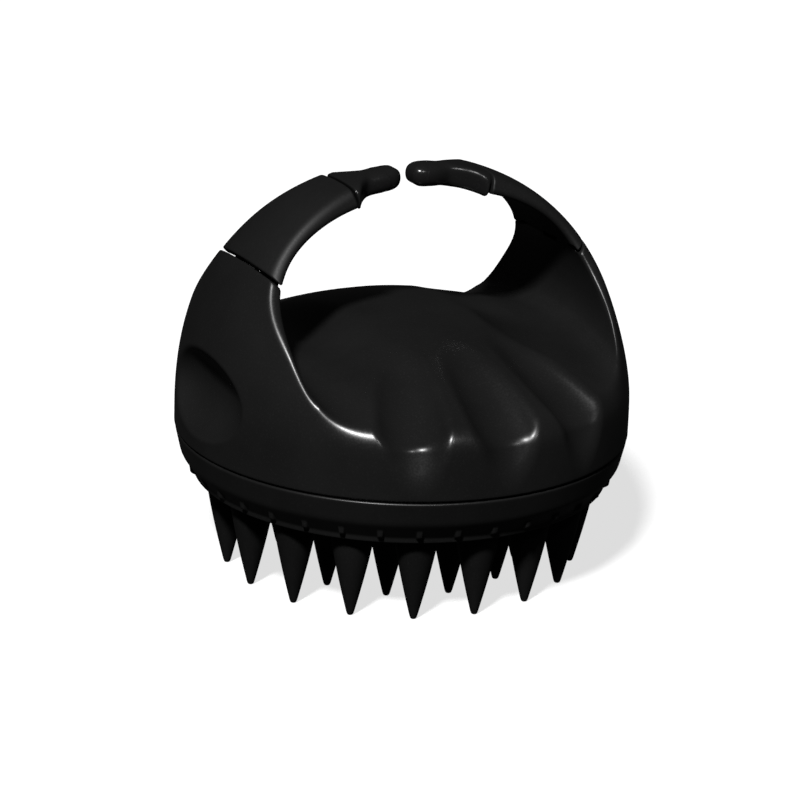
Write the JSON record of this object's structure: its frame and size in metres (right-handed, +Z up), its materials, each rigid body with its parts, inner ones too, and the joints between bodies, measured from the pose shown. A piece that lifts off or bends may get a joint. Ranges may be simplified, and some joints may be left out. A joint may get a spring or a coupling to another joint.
{
  "type": "scalp massager brush",
  "caption": "Hand-held scalp massager: a domed casing with two springy finger arms over a grooved saddle, on a twist-off base of soft conical fingers.",
  "frame": {"origin": "middle of the plane that the finger tips touch, under the centre finger", "axes": "+Z up through the handle, X across the two arms, Y along the finger passage with the three grooves at -Y"},
  "size_m": [0.09, 0.09, 0.0805],
  "materials": {
    "satin_shell": "satin black moulded plastic with a fine grain",
    "ring_plastic": "satin black moulded plastic",
    "soft_grip": "soft-touch black elastomer",
    "gloss_grip": "semi-gloss black elastomer",
    "silicone": "matt black silicone",
    "inner_plastic": "plain dark moulded plastic",
    "steel": "zinc-plated steel"
  },
  "bodies": {
    "handle": {"casing": "satin_shell"},
    "base": {"base_ring": "ring_plastic", "backing_plate": "inner_plastic", "finger_pad": "silicone", "seal_ring": "silicone", "plate_screw_1": "steel", "plate_screw_2": "steel", "plate_screw_3": "steel", "plate_screw_4": "steel", "finger_centre": "silicone", "finger_inner_01": "silicone", "finger_inner_02": "silicone", "finger_inner_03": "silicone", "finger_inner_04": "silicone", "finger_inner_05": "silicone", "finger_inner_06": "silicone", "finger_middle_01": "silicone", "finger_middle_02": "silicone", "finger_middle_03": "silicone", "finger_middle_04": "silicone", "finger_middle_05": "silicone", "finger_middle_06": "silicone", "finger_middle_07": "silicone", "finger_middle_08": "silicone", "finger_middle_09": "silicone", "finger_middle_10": "silicone", "finger_middle_11": "silicone", "finger_middle_12": "silicone", "finger_outer_01": "silicone", "finger_outer_02": "silicone", "finger_outer_03": "silicone", "finger_outer_04": "silicone", "finger_outer_05": "silicone", "finger_outer_06": "silicone", "finger_outer_07": "silicone", "finger_outer_08": "silicone", "finger_outer_09": "silicone", "finger_outer_10": "silicone", "finger_outer_11": "silicone", "finger_outer_12": "silicone", "finger_outer_13": "silicone", "finger_outer_14": "silicone", "finger_outer_15": "silicone", "finger_outer_16": "silicone", "finger_outer_17": "silicone", "finger_outer_18": "silicone"},
    "right_grip": {"right_arm_grip": "soft_grip", "right_arm_core": "inner_plastic"},
    "right_tip": {"right_arm_tip": "gloss_grip"},
    "left_grip": {"left_arm_grip": "soft_grip", "left_arm_core": "inner_plastic"},
    "left_tip": {"left_arm_tip": "gloss_grip"}
  },
  "joints": [
    {"name": "base_twist", "type": "hinge", "parent": "handle", "child": "base", "pos_m": [0, 0, 0.0275], "axis": [0, 0, 1], "range_deg": [0, 12]},
    {"name": "right_arm_flex", "type": "hinge", "parent": "handle", "child": "right_grip", "pos_m": [0.03363, 0, 0.06319], "axis": [0, 1, 0], "range_deg": [0, 12], "stiffness_Nm_per_rad": 0.3},
    {"name": "right_tip_flex", "type": "hinge", "parent": "right_grip", "child": "right_tip", "pos_m": [0.01465, 0, 0.07616], "axis": [0, 1, 0], "range_deg": [0, 12], "stiffness_Nm_per_rad": 0.1},
    {"name": "left_arm_flex", "type": "hinge", "parent": "handle", "child": "left_grip", "pos_m": [-0.03363, 0, 0.06319], "axis": [0, -1, 0], "range_deg": [0, 12], "stiffness_Nm_per_rad": 0.3},
    {"name": "left_tip_flex", "type": "hinge", "parent": "left_grip", "child": "left_tip", "pos_m": [-0.01465, 0, 0.07616], "axis": [0, -1, 0], "range_deg": [0, 12], "stiffness_Nm_per_rad": 0.1}
  ]
}
